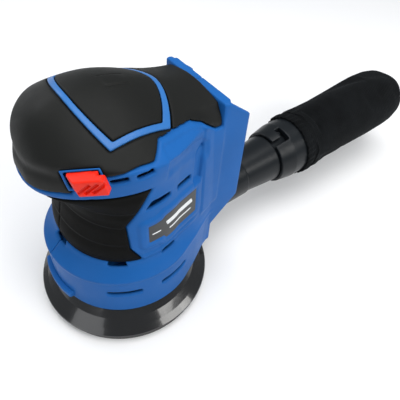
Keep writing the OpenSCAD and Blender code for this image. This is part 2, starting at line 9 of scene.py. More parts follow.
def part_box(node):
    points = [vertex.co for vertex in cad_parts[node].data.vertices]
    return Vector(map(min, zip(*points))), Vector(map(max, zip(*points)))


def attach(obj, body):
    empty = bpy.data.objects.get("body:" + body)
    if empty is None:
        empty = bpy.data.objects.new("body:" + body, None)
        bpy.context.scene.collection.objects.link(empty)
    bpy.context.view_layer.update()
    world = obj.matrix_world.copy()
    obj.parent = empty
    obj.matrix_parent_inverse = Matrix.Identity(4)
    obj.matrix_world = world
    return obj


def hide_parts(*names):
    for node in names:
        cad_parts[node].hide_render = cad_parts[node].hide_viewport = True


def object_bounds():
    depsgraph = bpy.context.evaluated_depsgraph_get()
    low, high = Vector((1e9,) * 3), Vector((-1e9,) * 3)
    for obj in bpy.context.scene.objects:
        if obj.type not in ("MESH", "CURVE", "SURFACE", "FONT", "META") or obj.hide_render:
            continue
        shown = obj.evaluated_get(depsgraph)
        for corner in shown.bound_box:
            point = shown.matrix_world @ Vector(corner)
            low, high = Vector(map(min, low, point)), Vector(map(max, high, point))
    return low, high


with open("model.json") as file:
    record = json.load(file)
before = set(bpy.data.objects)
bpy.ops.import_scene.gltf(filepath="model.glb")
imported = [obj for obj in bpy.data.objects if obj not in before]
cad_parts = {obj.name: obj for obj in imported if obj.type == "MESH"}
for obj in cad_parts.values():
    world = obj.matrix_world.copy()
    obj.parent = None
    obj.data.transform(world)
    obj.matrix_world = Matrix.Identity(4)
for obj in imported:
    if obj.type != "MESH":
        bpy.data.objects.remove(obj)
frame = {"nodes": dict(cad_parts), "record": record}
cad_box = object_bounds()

# Shapes are worked out in millimetres, in the CAD frame: +Z up along the motor axis,
# -Y the nose, +X the operator's left. Meshes are made in metres.
MM = 0.001
STEP = 0.7
FINE_STEP = 0.4


def box_mm(node):
    """Lowest and highest corner of a CAD node, in millimetres."""
    low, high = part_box(node)
    return np.array(low) / MM, np.array(high) / MM


# ---- Driving sizes of the body ----------------------------------------------------------

SKIRT_LOW = box_mm("housing_left")[0][2]
SKIRT_R = box_mm("housing_left")[1][0]
FLANK_W = 45.2
CROWN_Z = box_mm("palm_panel")[1][2]
TRIM_W = 3.4
TRIM_T = 1.3
WALL = 2.8
GRIP_T = 1.8
# Battery receptacle: half width, wall, front face, top and floor.
REC_W, REC_T, REC_Y, REC_TOP, REC_FLOOR = 30, 2.6, 57.2, 151, 66
COVER_Y = REC_Y - 0.6
GAP = 0.18

# Height, half width, nose reach, roundness of the nose, half width at the rear corner,
# distance to the rear corner.
LEVELS = np.array([
    [SKIRT_LOW, SKIRT_R, SKIRT_R, 2, 32, 54],
    [61.6, SKIRT_R - 0.8, SKIRT_R - 0.8, 2, 32.6, 54.4],
    [62.6, 50.5, 50.3, 2, 32.6, 54.4],
    [66, 47.8, 46.5, 2, 32.8, 54.2],
    [70.5, 45.6, 42.6, 2, 32.8, 54],
    [73.5, FLANK_W, 41.3, 2, 32.8, 54],
    [80, FLANK_W, 41, 2, 32.8, 53.6],
    [90, FLANK_W, 38.7, 2, 32.8, 53],
    [100, FLANK_W, 36.2, 2, 32.8, 52],
    [108, FLANK_W, 34.9, 2, 32.8, 51.4],
    [114, FLANK_W, 35.9, 2, 32.8, 51],
    [120, FLANK_W, 39.5, 2, 32.8, 50.4],
    [126, FLANK_W, 46.6, 1.95, 32.8, 50],
    [129, 45.4, 51.4, 1.9, 32.6, 49.8],
    [132.5, 45.9, 52.3, 1.85, 32.4, 49.6],
    [138, 47.2, 51.5, 1.85, 32, 49.4],
    [145, 48.2, 50.4, 1.85, 31, 51],
    [151, 48.3, 49.2, 1.85, 29.4, 55],
    [158, 45.4, 45.4, 1.8, 28, REC_Y],
    [166, 41, 40.8, 1.75, 26, REC_Y],
    [178, 36, 35, 1.7, 24, REC_Y],
])

# Outlines in Y and Z, seen from the side.
COVER_LINE = [
    (-60, 131), (-48, 132.5), (-40, 135.5), (-36.5, 136), (-35, 148.6), (-21, 148.6),
    (-13, 149.7), (-6.8, 149.9), (0.7, 149.3), (4.6, 151.4), (8.3, 153.6), (16, 152.5),
    (32.4, 150.2), (41, 145.4), (51, 137), (COVER_Y, 136.2), (COVER_Y, 190), (-60, 190),
]
GRIP_LINE = [
    (-60, 72.8), (-9, 72.8), (-15, 85), (-15.5, 105), (-1, 132.5),
    (-30, 132.5), (-44, 130), (-50, 127.5), (-60, 126.5),
]
PLATE_LINE = [
    (-5.7, 87.6), (4.6, 87.4), (6.4, 84), (34.4, 84.4),
    (34.2, 106), (6.2, 106.4), (3.9, 104.4), (-5.7, 103.4),
]
SIDE_LINE = [
    (51.3, 135.6), (COVER_Y + 0.15, 135.9), (COVER_Y + 0.15, 141), (58.8, 150.5), (61, 150.5),
    (77.5, 137.5), (78.4, 66.3), (57.9, 47.2), (55.1, 44.8),
]
WELL_LINE = [(31, 109.5), (32, 131), (40.5, 133.5), (38, 109)]

# Each vent cuts the flank from its first X outwards.
FLANK_VENTS = [
    (36, [(-5.4, 116.2), (-1.5, 122), (10.8, 121.2), (10.8, 117.5)]),
    (30, [(16.8, 116.5), (17.1, 120.1), (28, 120.2), (28.4, 116.2)]),
]
# Housing screws in Y and Z, with the radii of the boss, the hole and the head's seat.
SCREWS = [(-31, 58), (38, 72), (38, 128), (-14, 134.2)]
BOSS_R, HOLE_R, SEAT_R, SEAT_X = 3.6, 1.9, 3.5, 22

# Switch frame: +X outwards, +Y along the slide, away from the nose.
SWITCH_AZ, SWITCH_Z, SWITCH_TILT = 49, 147, 13
SWITCH = (
    Matrix.Rotation(math.radians(SWITCH_AZ - 90), 4, "Z")
    @ Matrix.Translation((0, 0, SWITCH_Z))
    @ Matrix.Rotation(math.radians(SWITCH_TILT), 4, "X")
)
# The sides of the switch's opening lean by this much a millimetre, inwards from its face.
SWITCH_FACE, LEAN_Y, LEAN_Z = 47, 0.6, 0.95

# Outlet frame: +Z backwards along the outlet's axis from TUBE_Y, -Y upwards. The duct's axis
# is at DUCT_Z100 where Y is 100.
TUBE_Y, DUCT_Z100, DUCT_RISE, DUCT_R = 62, 46.3, 0.05, 16.2
TUBE = (
    Matrix.Translation((0, TUBE_Y, DUCT_Z100 + DUCT_RISE * (TUBE_Y - 100)))
    @ Matrix.Rotation(math.radians(-90) + math.atan(DUCT_RISE), 4, "X")
)


# ---- Fields: signed distances on a grid, negative inside ---------------------------------

class Grid:
    """Points of a regular grid in millimetres, as three arrays that broadcast."""

    def __init__(self, low, high, step):
        self.low = np.array(low, float)
        self.step = step
        axes = [np.arange(a, b + step, step) for a, b in zip(low, high)]
        self.x = axes[0][:, None, None]
        self.y = axes[1][None, :, None]
        self.z = axes[2][None, None, :]

    def angle(self):
        """Degrees round the motor axis, from the nose towards +X."""
        return np.degrees(np.arctan2(self.x, -self.y))


def line_distance(px, py, points, closed=True):
    """Signed distance from points to an outline. An open one is closed along px = 0."""
    shape = np.broadcast(px, py).shape
    nearest = np.full(shape, 1e9)
    inside = np.zeros(shape, bool)
    ends = points[1:] + points[:1] if closed else points[1:]
    for (ax, ay), (bx, by) in zip(points, ends):
        ex, ey = bx - ax, by - ay
        wx, wy = px - ax, py - ay
        t = np.clip((wx * ex + wy * ey) / (ex * ex + ey * ey), 0, 1)
        nearest = np.minimum(nearest, (wx - ex * t) ** 2 + (wy - ey * t) ** 2)
        if ey:
            inside ^= ((ay > py) != (by > py)) & (px < ex * wy / ey + ax)
    return np.where(inside, -1, 1) * np.sqrt(nearest)


def side_shape(grid, points):
    """Distance to a prism across the body with an outline in Y and Z."""
    return line_distance(grid.y[0], grid.z[0], points)[None]


def plan_shape(grid, points):
    """Distance to an upright prism with an outline in X and Y."""
    return line_distance(grid.x[:, :, 0], grid.y[:, :, 0], points)[:, :, None]


def block(grid, low, high):
    """Distance to a box, in the grid's frame."""
    d = [np.abs(p - (a + b) / 2) - (b - a) / 2
         for p, a, b in zip((grid.x, grid.y, grid.z), low, high)]
    return np.maximum(np.maximum(d[0], d[1]), d[2])


def along_x(grid, y, z, r, x0, x1):
    """Distance to a round rod along X."""
    round_it = np.hypot(grid.y - y, grid.z - z) - r
    return np.maximum(round_it, np.abs(grid.x - (x0 + x1) / 2) - (x1 - x0) / 2)


def slot(grid, az, z, width, height, inner_r, tilt=0, taper=0, rounded=False):
    """Distance to a slot through the wall, aimed at the motor axis."""
    a, t = math.radians(az), math.radians(tilt)
    across = grid.x * math.cos(a) + grid.y * math.sin(a)
    out = grid.x * math.sin(a) - grid.y * math.cos(a)
    up = grid.z - z
    u = across * math.cos(t) + up * math.sin(t)
    v = up * math.cos(t) - across * math.sin(t)
    half = width / 2 - taper * v
    if rounded:
        flat = np.hypot(np.maximum(np.abs(u) - half + height / 2, 0), v) - height / 2
    else:
        flat = np.maximum(np.abs(u) - half, np.abs(v) - height / 2)
    return np.maximum(flat, inner_r - out)


def ramp(t):
    """0 below 0, 1 above 1, and smooth between."""
    t = np.clip(t, 0, 1)
    return t * t * (3 - 2 * t)


def both(a, b, k):
    """Intersection of two fields, with an edge rounded over k."""
    return np.maximum(a, b) + np.maximum(k - np.abs(a - b), 0) ** 2 / (4 * k)


def either(a, b, k):
    """Union of two fields, with a fillet over k."""
    return -both(-a, -b, k)


def soften(field):
    """Rounds a field's edges by about one grid step."""
    for axis in range(3):
        f = np.moveaxis(field, axis, 0)
        f[1:-1] = 0.25 * (f[:-2] + f[2:]) + 0.5 * f[1:-1]
    return field


# ---- The closed outer form of the body -----------------------------------------------------

OUTLINE_STEP = 1.5
CROWN_EDGE = 0.7


def level_at(z):
    """The row of LEVELS at a height, on smooth curves with no overshoot."""
    t, rows = LEVELS[:, 0], LEVELS[:, 1:]
    slopes = np.diff(rows, axis=0) / np.diff(t)[:, None]
    m = np.zeros_like(rows)
    product = slopes[:-1] * slopes[1:]
    total = slopes[:-1] + slopes[1:]
    m[1:-1] = np.where(product > 0, 2 * product / np.where(product > 0, total, 1), 0)
    k = int(np.clip(np.searchsorted(t, z, side="right") - 1, 0, len(t) - 2))
    h = t[k + 1] - t[k]
    s = float(np.clip((z - t[k]) / h, 0, 1))
    return ((1 + 2 * s) * (1 - s) ** 2 * rows[k] + s * (1 - s) ** 2 * h * m[k]
            + s * s * (3 - 2 * s) * rows[k + 1] + s * s * (s - 1) * h * m[k + 1])


def half_outline(z):
    """Left half of the plan outline at a height, from the nose to the middle of the back."""
    w, reach, n, xc, yc = level_at(z)
    points = []
    for i in range(37):
        a = math.radians(90 * i / 36)
        points.append((w * math.sin(a) ** (2 / n), -reach * max(0, math.cos(a)) ** (2 / n)))
    points += [(w * math.cos(math.radians(a)), 0.98 * w * math.sin(math.radians(a)))
               for a in range(3, 27, 3)]
    end = points[-1]
    points.append(((end[0] + xc) / 2 + 0.5, (end[1] / 0.98 + yc - 6) / 2))
    points += [(xc, yc - 6), (xc - 2.4, yc - 0.6), (xc - 3, REC_Y), (0, REC_Y)]
    return points


def crown_height(x, y):
    """Height of the palm crown over a point of the plan."""
    x = np.abs(x)
    reach = np.minimum(np.maximum(0, -4 - y) / 48, 0.998)
    nose = 50 * (1 - (1 - reach ** 2.8) ** (1 / 2.8))
    rear = 16 * ramp((y + 6) / 66)
    side = 20 * (x / 47) ** 1.7 * (1 - 0.35 * ramp((y - 20) / 36))
    shoulder = 1.3 * np.maximum(0, x - 23.5) * ramp((y - 30) / 24)
    return CROWN_Z - nose - rear - side - shoulder


def column(grid):
    """Distance to the body's side surface, from outlines at even steps up."""
    z = grid.z[0, 0]
    heights = np.arange(z[0], z[-1] + 2, OUTLINE_STEP)
    x, y = np.abs(grid.x[:, :, 0]), grid.y[:, :, 0]
    layers = np.stack([line_distance(x, y, half_outline(h), closed=False) for h in heights], 2)
    k = np.clip(np.searchsorted(heights, z, side="right") - 1, 0, len(heights) - 2)
    t = (z - heights[k]) / (heights[k + 1] - heights[k])
    return layers[:, :, k] * (1 - t) + layers[:, :, k + 1] * t


def form(grid):
    """Distance to the closed outer form: the column under the palm crown."""
    x, y = np.abs(grid.x[:, :, 0]), grid.y[:, :, 0]
    height = crown_height(x, y)
    slope = np.hypot(crown_height(x + 0.5, y) - crown_height(x - 0.5, y),
                     crown_height(x, y + 0.5) - crown_height(x, y - 0.5))
    crown = (grid.z - height[:, :, None]) / np.hypot(1, np.minimum(slope, 3))[:, :, None]
    return both(column(grid), crown, CROWN_EDGE)


# ---- Skins: meshes round the zero level of a field -----------------------------------------

FACETS_KEPT = 0.4
PARTING = 0.06
CORNERS = [(i, j, k) for i in (0, 1) for j in (0, 1) for k in (0, 1)]
EDGES = [(a, b) for a in CORNERS for b in CORNERS if sum(b) - sum(a) == 1
         and all(q >= p for p, q in zip(a, b))]


def skin(field, grid):
    """One vertex in each crossed cell, at the mean of its edge crossings, and the quads."""
    inside = field < 0
    nx, ny, nz = (n - 1 for n in field.shape)
    count = sum(inside[i:i + nx, j:j + ny, k:k + nz].astype(np.int8) for i, j, k in CORNERS)
    cells = np.argwhere((count > 0) & (count < 8))
    index = np.full((nx, ny, nz), -1, np.int64)
    index[tuple(cells.T)] = np.arange(len(cells))
    total = np.zeros((len(cells), 3))
    hits = np.zeros(len(cells))
    for a, b in EDGES:
        fa = field[tuple((cells + a).T)]
        fb = field[tuple((cells + b).T)]
        crossed = (fa < 0) != (fb < 0)
        t = np.where(crossed, fa / np.where(crossed, fa - fb, 1), 0)
        point = np.array(a) + t[:, None] * (np.array(b) - np.array(a))
        total += np.where(crossed[:, None], point, 0)
        hits += crossed
    points = grid.low + grid.step * (cells + total / hits[:, None])
    quads = []
    for axis in range(3):
        u, v = (axis + 1) % 3, (axis + 2) % 3
        first = np.moveaxis(inside, (axis, u, v), (0, 1, 2))
        a, b = first[:-1, 1:-1, 1:-1], first[1:, 1:-1, 1:-1]
        for way, crossed in ((1, a & ~b), (-1, ~a & b)):
            p, q, r = np.nonzero(crossed)
            q, r = q + 1, r + 1
            ring = [(p, q - 1, r - 1), (p, q, r - 1), (p, q, r), (p, q - 1, r)][::way]
            table = np.moveaxis(index, (axis, u, v), (0, 1, 2))
            quads.append(np.stack([table[c] for c in ring], 1))
    quads = np.concatenate(quads)
    return points, quads[(quads >= 0).all(1)]


def make_mesh(name, points, faces, matrix=None):
    """A smooth-shaded object from points in millimetres, placed by matrix."""
    points = np.asarray(points, float)
    if matrix is not None:
        m = np.array(matrix)
        points = points @ m[:3, :3].T + m[:3, 3]
    mesh = bpy.data.meshes.new(name)
    mesh.from_pydata((points * MM).tolist(), [], [list(map(int, f)) for f in faces])
    mesh.validate()
    mesh.polygons.foreach_set("use_smooth", np.ones(len(mesh.polygons), bool))
    obj = bpy.data.objects.new(name, mesh)
    bpy.context.scene.collection.objects.link(obj)
    return obj


def apply_modifiers(obj):
    """Bakes an object's modifiers into its mesh."""
    graph = bpy.context.evaluated_depsgraph_get()
    made = bpy.data.meshes.new_from_object(obj.evaluated_get(graph))
    obj.modifiers.clear()
    obj.data = made
    return obj


def lighten(obj):
    """Joins the smallest facets, so that flat stretches hold fewer."""
    decimate = obj.modifiers.new("lighten", "DECIMATE")
    decimate.ratio = FACETS_KEPT
    apply_modifiers(obj)
    obj.data.polygons.foreach_set("use_smooth", np.ones(len(obj.data.polygons), bool))
    return obj


def skin_object(name, field, grid, matrix=None, mirrored=False, half=False):
    """Skin of a field with softened edges. A half is cut sharply at the parting plane."""
    field = soften(np.array(field))
    if half:
        field = np.maximum(field, PARTING - grid.x)
    points, quads = skin(field, grid)
    if mirrored:
        points = points * (-1, 1, 1)
        quads = quads[:, ::-1]
    return lighten(make_mesh(name, points, quads, matrix))


# ---- Materials -------------------------------------------------------------------------------

class Shader:
    """A node material round one Principled shader."""

    def __init__(self, name, **sockets):
        self.material = bpy.data.materials.new(name)
        self.material.use_nodes = True
        self.nodes = self.material.node_tree.nodes
        self.links = self.material.node_tree.links
        self.bsdf = self.nodes["Principled BSDF"]
        for key, value in sockets.items():
            self.bsdf.inputs[key.replace("_", " ")].default_value = value
        self.place = self.nodes.new("ShaderNodeTexCoord").outputs["Object"]

    def node(self, kind, inputs=(), **settings):
        made = self.nodes.new(kind)
        for key, value in settings.items():
            setattr(made, key, value)
        for key, value in dict(inputs).items():
            if isinstance(value, bpy.types.NodeSocket):
                self.links.new(value, made.inputs[key])
            else:
                made.inputs[key].default_value = value
        return made

    def noise(self, scale, detail=3.0, place=None):
        return self.node("ShaderNodeTexNoise", {
            "Vector": place or self.place, "Scale": scale, "Detail": detail}).outputs["Fac"]

    def band(self, value, low, high):
        """Maps a 0 to 1 value to a range."""
        return self.node("ShaderNodeMapRange", {
            "Value": value, "To Min": low, "To Max": high}).outputs["Result"]

    def blend(self, value, dark, light):
        """Colour between two tones."""
        ramp_node = self.node("ShaderNodeValToRGB", {"Fac": value})
        for stop, place, colour in zip(ramp_node.color_ramp.elements, (0.3, 0.7), (dark, light)):
            stop.position = place
            stop.color = (*colour, 1)
        return ramp_node.outputs["Color"]

    def bump(self, height, strength, distance, under=None):
        inputs = {"Height": height, "Strength": strength, "Distance": distance}
        if under is not None:
            inputs["Normal"] = under
        return self.node("ShaderNodeBump", inputs).outputs["Normal"]

    def finish(self, colour=None, rough=None, normal=None):
        for socket, value in (("Base Color", colour), ("Roughness", rough), ("Normal", normal)):
            if value is not None:
                self.links.new(value, self.bsdf.inputs[socket])
        return self.material


def shade(colour, factor):
    """A colour made darker or lighter."""
    return tuple(min(1.0, c * factor) for c in colour)


def plastic(name, colour, rough, grain=9000, depth=0.00003, vary=0.06, **sockets):
    """Moulded plastic: spark-eroded grain, slow colour drift and fine handling marks."""
    s = Shader(name, **sockets)
    drift = s.noise(28, 4)
    grains = s.noise(grain, 2)
    marks = s.noise(160, 6)
    tone = s.blend(drift, shade(colour, 1 - vary), shade(colour, 1 + vary))
    polish = s.band(marks, rough - 0.07, rough + 0.07)
    waviness = s.bump(s.noise(60, 2), 0.25, 0.0002)
    return s.finish(tone, polish, s.bump(grains, 0.5, depth, waviness))


def metal(name, colour, rough, brushed=True):
    """Machined or stamped metal with tool marks and a faint oil film."""
    s = Shader(name, Metallic=1.0)
    scale = (1, 1, 40 if brushed else 1)
    stretch = s.node("ShaderNodeMapping", {"Vector": s.place, "Scale": scale})
    lines = s.noise(700, 4, stretch.outputs["Vector"])
    film = s.noise(45, 3)
    tone = s.blend(film, shade(colour, 0.8), shade(colour, 1.08))
    polish = s.band(lines, rough - 0.1, rough + 0.12)
    return s.finish(tone, polish, s.bump(lines, 0.3, 0.00004))


def knit(name, colour, wales=3000.0):
    """Knitted polyester: fine wales and courses over a soft fuzz."""
    s = Shader(name, Sheen_Weight=0.03, Sheen_Roughness=0.5, Specular_IOR_Level=0.08)
    s.bsdf.inputs["Sheen Tint"].default_value = (0.5, 0.55, 0.6, 1)
    split = s.node("ShaderNodeSeparateXYZ", {"Vector": s.place})
    across = {0: split.outputs["X"], 1: split.outputs["Z"]}
    turn = s.node("ShaderNodeMath", across, operation="ADD")
    waves = []
    for value in (turn.outputs[0], split.outputs["Y"]):
        count = s.node("ShaderNodeMath", {0: value, 1: wales}, operation="MULTIPLY")
        waves.append(s.node("ShaderNodeMath", {0: count.outputs[0]}, operation="SINE").outputs[0])
    loops = s.node("ShaderNodeMath", {0: waves[0], 1: waves[1]}, operation="MULTIPLY").outputs[0]
    fuzz = s.noise(2600, 3)
    # Painted shade and light: the cloth's tone darkens and lightens in random blotches the size of
    # folds.
    fold_shade_blotches = s.noise(45, 4)
    tone = s.blend(fold_shade_blotches, shade(colour, 0.7), shade(colour, 1.5))
    rough = s.band(fuzz, 0.82, 0.98)
    return s.finish(tone, rough, s.bump(loops, 0.5, 0.00025, s.bump(fuzz, 0.4, 0.0002)))


def glossy(name, colour):
    """Glossy moulded skin with slow ripples, dust specks and hairline scratches."""
    s = Shader(name, Coat_Weight=0.6, Coat_Roughness=0.05, IOR=1.5)
    ripple = s.noise(38, 2)
    specks = s.noise(2400, 2)
    around = s.node("ShaderNodeMapping", {"Vector": s.place, "Scale": (1, 1, 60)})
    hair = s.noise(420, 5, around.outputs["Vector"])
    tone = s.blend(ripple, shade(colour, 0.8), shade(colour, 1.25))
    rough = s.band(hair, 0.12, 0.24)
    return s.finish(tone, rough, s.bump(specks, 0.12, 0.00002, s.bump(ripple, 0.35, 0.0006)))


def board(name):
    """Solder mask over copper tracks."""
    s = Shader(name, Roughness=0.3)
    inputs = {"Vector": s.place, "Scale": 420.0}
    tracks = s.node("ShaderNodeTexVoronoi", inputs, distance="CHEBYCHEV")
    tone = s.blend(tracks.outputs["Distance"], (0.02, 0.12, 0.05), (0.04, 0.24, 0.1))
    return s.finish(tone, None, s.bump(tracks.outputs["Distance"], 0.3, 0.0001))


def hook_pile(name):
    """Hook tape: rows of tiny stems."""
    s = Shader(name, Sheen_Weight=0.2, Specular_IOR_Level=0.3)
    stems = s.node("ShaderNodeTexVoronoi", {"Vector": s.place, "Scale": 900.0})
    tone = s.blend(stems.outputs["Distance"], (0.05, 0.05, 0.05), (0.012, 0.012, 0.012))
    rough = s.band(s.noise(300), 0.7, 0.95)
    return s.finish(tone, rough, s.bump(stems.outputs["Distance"], 0.9, 0.0006))


# Finishes by the record's slot names. plate_marks and the grips' finish are extra: the first has no
# slot, and the second is the soft_grip slot's finish on the waist, made darker as painted shade.
SOFT_TOUCH = {"grain": 5200, "depth": 0.00006, "vary": 0.12}
MATERIALS = {
    "housing_blue": plastic("housing_blue", (0.012, 0.104, 0.35), 0.42, Specular_IOR_Level=0.08),
    "trim_blue": plastic("trim_blue", (0.026, 0.145, 0.42), 0.36, Specular_IOR_Level=0.3),
    "soft_grip": plastic("soft_grip", (0.009, 0.0095, 0.0088), 0.52, **SOFT_TOUCH,
                         Specular_IOR_Level=0.13),
    # Painted shade: a darker copy of soft_grip, for the grip sleeves on the waist.
    "soft_grip_shaded": plastic("soft_grip_shaded", (0.0035, 0.0036, 0.0033), 0.6, **SOFT_TOUCH,
                           Specular_IOR_Level=0.05),
    "switch_red": plastic("switch_red", (0.78, 0.018, 0.004), 0.38, Specular_IOR_Level=0.2),
    "inner_plastic": plastic("inner_plastic", (0.04, 0.04, 0.045), 0.5, vary=0.15),
    "board_green": board("board_green"),
    "contact_brass": metal("contact_brass", (0.80, 0.58, 0.25), 0.3),
    "lead_cover": plastic("lead_cover", (0.28, 0.02, 0.02), 0.5),
    "plate_dark": plastic("plate_dark", (0.016, 0.017, 0.016), 0.45, grain=3000),
    "plate_marks": plastic("plate_marks", (0.72, 0.74, 0.75), 0.45, grain=3000),
    "steel": metal("steel", (0.60, 0.60, 0.61), 0.3),
    "magnet": metal("magnet", (0.10, 0.10, 0.11), 0.6, brushed=False),
    "core_iron": metal("core_iron", (0.30, 0.27, 0.24), 0.5),
    "copper": metal("copper", (0.72, 0.36, 0.18), 0.3),
    "rubber": plastic("rubber", (0.012, 0.012, 0.012), 0.7, vary=0.2),
    "alloy": metal("alloy", (0.55, 0.56, 0.58), 0.45, brushed=False),
    "pad_gloss": glossy("pad_gloss", (0.006, 0.006, 0.0065)),
    "foam": plastic("foam", (0.03, 0.03, 0.03), 0.9, grain=1400, depth=0.0004, vary=0.3),
    "hook": hook_pile("hook"),
    "tube_black": plastic("tube_black", (0.008, 0.010, 0.012), 0.34, grain=7000,
                          Specular_IOR_Level=0.18),
    "bag_fabric": knit("bag_fabric", (0.004, 0.0046, 0.0052)),
}


def dress_cad_nodes():
    """Gives every CAD node the finish of its slot."""
    slots = {row["node"]: row["material_slot"] for row in frame["record"]["subparts"]}
    for name, node in frame["nodes"].items():
        node.data.materials.clear()
        node.data.materials.append(MATERIALS[slots[name]])


def place(obj, body, material, *nodes):
    """Rides obj on a body, gives it its finish and lets it stand for CAD nodes."""
    obj.data.materials.clear()
    obj.data.materials.append(MATERIALS[material])
    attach(obj, body)
    if nodes:
        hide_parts(*nodes)
    return obj


# ---- The body's shells ------------------------------------------------------------------------

def flank_relief(grid):
    """How far the housing's surface stands out of the form, or in where it is below 0."""
    # A raised frame round the nameplate, and the nameplate's own pocket.
    outside = side_shape(grid, PLATE_LINE)
    raised = 1.3 * ramp((5.2 - outside) / 1.3) * ramp((grid.x - 30) / 4)
    pocket = -0.7 * ramp((0.3 - outside) / 0.5) * ramp((grid.x - 30) / 4)
    # Two steps down from the cover's edge, behind the nose.
    cover = side_shape(grid, COVER_LINE)
    rear_side = ramp((grid.y - 7) / 2) * ramp((46 - grid.y) / 4) * ramp((grid.x - 20) / 6)
    ledge = -(0.8 * ramp((cover - 1.5) / 0.5) + 0.8 * ramp((cover - 7) / 0.6)) * rear_side
    ledge = ledge * ramp((19 - cover) / 6)
    # A sunk well in front of the corner, and a strip down the corner.
    well = side_shape(grid, WELL_LINE)
    sunk = -2.4 * ramp((0.6 - well) / 1.2) * ramp((grid.x - 26) / 4)
    strip = 1.1 * ramp((grid.y - 40.5) / 0.9) * ramp((70 - grid.z) / -6) * ramp((grid.x - 26) / 4)
    # A rib under the grip and a lip round the top of the skirt.
    az = np.abs(grid.angle())
    round_side = ramp((az - 30) / 12) * ramp((138 - az) / 8)
    rib = 0.7 * ramp((grid.z - 73.4) / 0.7) * ramp((77.4 - grid.z) / 0.7) * round_side
    lip = 0.5 * ramp((grid.z - 59) / 0.6) * ramp((62.4 - grid.z) / 0.4)
    return raised + pocket + ledge + sunk + strip + rib * (raised < 0.05) + lip


def housing_field(grid, outer):
    """One half of the clamshell, on the +X side."""
    relief = flank_relief(grid)
    skin_outer = outer - relief
    cover, grip = side_shape(grid, COVER_LINE), side_shape(grid, GRIP_LINE)
    wall = np.maximum(skin_outer, -(outer + WALL + np.maximum(-relief, 0)))
    wall = np.maximum(np.maximum(wall, GAP - cover), GAP - grip)
    backing = np.maximum(np.maximum(outer + GRIP_T + 0.15, -(outer + WALL + 1)), grip - 1.2)
    field = np.minimum(wall, backing)
    front = block(grid, (-5, COVER_Y, REC_FLOOR - 2.2), (REC_W - 0.4, COVER_Y + 3.2, REC_TOP))
    rim = block(grid, (-5, REC_Y + 1, REC_TOP - 4), (REC_W - 3.1, REC_Y + 6, REC_TOP - 0.1))
    side = np.maximum(side_shape(grid, SIDE_LINE), np.abs(grid.x - REC_W + REC_T / 2) - REC_T / 2)
    floor = block(grid, (-5, REC_Y, REC_FLOOR - 2.2), (REC_W - 1, REC_Y + 19, REC_FLOOR))
    rail = block(grid, (REC_W - REC_T - 4, REC_Y + 7, REC_FLOOR - 1),
                 (REC_W - REC_T + 1, REC_Y + 10, REC_TOP - 14))
    for part in (front, rim, side, floor, rail):
        field = either(field, part, 0.8)
    # Two rings hold the motor.
    for z in (60, 110):
        rib = np.maximum(outer + WALL - 0.4, np.abs(grid.z - z - 1.5) - 1.5)
        field = np.minimum(field, np.maximum(rib, 26.2 - np.hypot(grid.x, grid.y)))
    for y, z in SCREWS:
        boss = np.maximum(along_x(grid, y, z, BOSS_R, -1, 60), outer + WALL - 0.5)
        field = np.minimum(field, boss)
    # Skirt, shoulder and collar slots, flank vents, contact opening, outlet.
    holes = [slot(grid, az, 47.8, 22.5, 3.9, 40, rounded=True) for az in (61.5, 102)]
    holes += [slot(grid, az, 70.9, 11, 3.8, 30, taper=0.5) for az in (0, 58)]
    holes.append(slot(grid, 102, 72.1, 10, 4.4, 30, taper=0.5))
    holes += [slot(grid, az, z, 8.8, 3, 36, tilt=6) for az, z in ((68, 145.3), (83.5, 146.075))]
    holes += [np.maximum(side_shape(grid, vent), from_x - grid.x) for from_x, vent in FLANK_VENTS]
    holes.append(block(grid, (-5, REC_Y - 8, 96), (16, REC_Y + 6, 132)))
    duct_z = DUCT_Z100 + DUCT_RISE * (grid.y - 100)
    holes.append(np.maximum(np.hypot(grid.x, grid.z - duct_z) - DUCT_R, 37 - grid.y))
    for hole in holes:
        field = np.maximum(field, -hole)
    return field


def switch_frame(grid):
    """The grid's points in the switch frame, leaning with the drafted sides of its opening."""
    inverse = np.array(SWITCH.inverted())
    x, y, z = (inverse[i, 0] * grid.x + inverse[i, 1] * grid.y + inverse[i, 2] * grid.z
               + inverse[i, 3] for i in range(3))
    depth = np.maximum(SWITCH_FACE - x, 0)
    return x, y + LEAN_Y * depth, z + LEAN_Z * depth


def switch_space(grid, room):
    """Distance to the switch's box-shaped space, grown by room."""
    x, y, z = switch_frame(grid)
    d = np.maximum(np.abs(y + 0.3) - 10 - room, np.abs(z - 0.2) - 6.2 - room)
    return np.maximum(d, 39 - x)


def make_housing():
    """Both halves of the clamshell, with the switch in the left one."""
    grid = Grid((-2 * STEP, -62, SKIRT_LOW - 3), (57, 82, 163), STEP)
    outer = form(grid)
    half = housing_field(grid, outer)
    left, right = half, half.copy()
    left = np.maximum(left, -switch_space(grid, 0.1))
    for y, z in SCREWS:
        left = np.maximum(left, -along_x(grid, y, z, HOLE_R, -1, 12))
        right = np.maximum(right, -along_x(grid, y, z, HOLE_R, -1, 60))
        right = np.maximum(right, -along_x(grid, y, z, SEAT_R, SEAT_X, 60))
    place(skin_object("housing_left_shell", left, grid, half=True), "housing", "housing_blue",
          "housing_left")
    place(skin_object("housing_right_shell", right, grid, mirrored=True, half=True), "housing",
          "housing_blue", "housing_right")


def ridges(grid):
    """Relief of the grip sleeve: broad bands with creases, a swept fold and a nose seam."""
    az = grid.angle()
    z = grid.z + 2.0 * np.sin(np.radians(az * 1.6))
    bands = sum(depth * (ramp((z - low) / 1.2) - ramp((z - low - width) / width))
                for low, width, depth in ((77, 9, 0.7), (91, 10, 0.8), (106, 7, 0.9), (118, 8, 0.8)))
    seam = np.exp(-(grid.x / 0.7) ** 2) * 0.35
    edge = ramp((np.abs(grid.z - 102) - 24) / 5)
    return (bands * (1 - edge) - seam) * ramp((-grid.y + 2) / 10)


